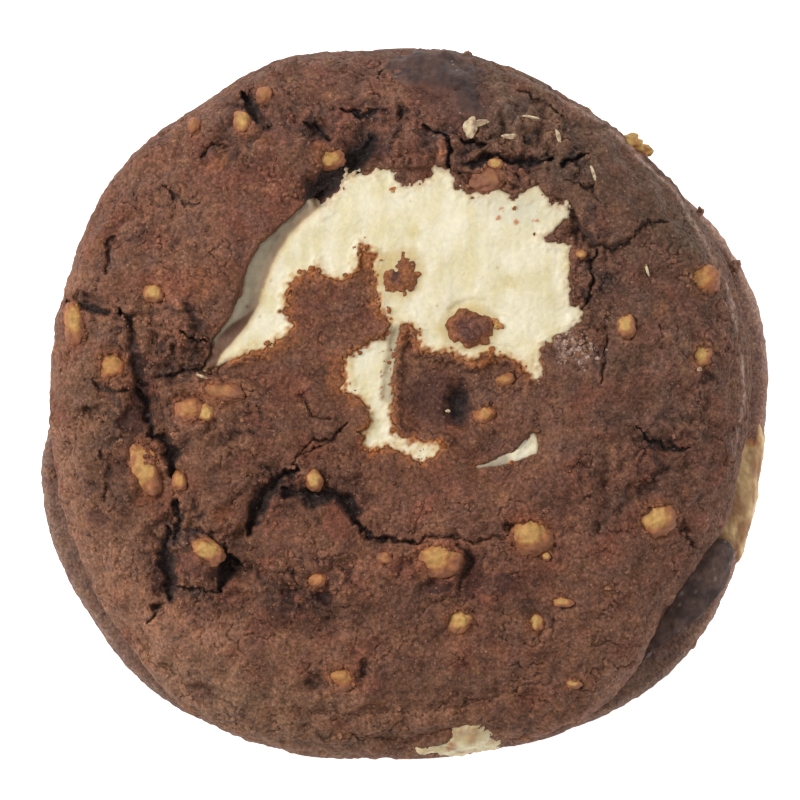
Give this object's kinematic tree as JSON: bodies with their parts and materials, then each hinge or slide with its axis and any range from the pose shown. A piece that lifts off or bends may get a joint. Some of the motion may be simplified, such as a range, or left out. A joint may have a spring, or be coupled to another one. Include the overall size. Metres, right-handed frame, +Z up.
{
  "type": "smores cookie",
  "caption": "Thick round baked chocolate cookie; its melted marshmallow filling shows through a broken window in the top and at the side, beside patches of melted chocolate.",
  "frame": {"origin": "middle of the cookie's bounding box, on the surface that its flat underside rests on", "axes": "+Z up through the cookie's thickness, +X towards the side where the foot, the marshmallow and the chocolate show, +Y towards the top chocolate patch"},
  "size_m": [0.0902, 0.0878, 0.0232],
  "materials": {
    "dough": "dry, fine-grained baked chocolate dough",
    "marshmallow": "soft satin, melted and toasted",
    "crust": "dry, crumbly baked crust",
    "chocolate": "smooth, half gloss"
  },
  "bodies": {
    "root": {"dough": "dough", "marshmallow": "marshmallow", "crust_flake_upper": "crust", "crust_flake_lower": "crust", "chocolate_side": "chocolate", "chocolate_top": "chocolate"}
  },
  "joints": []
}
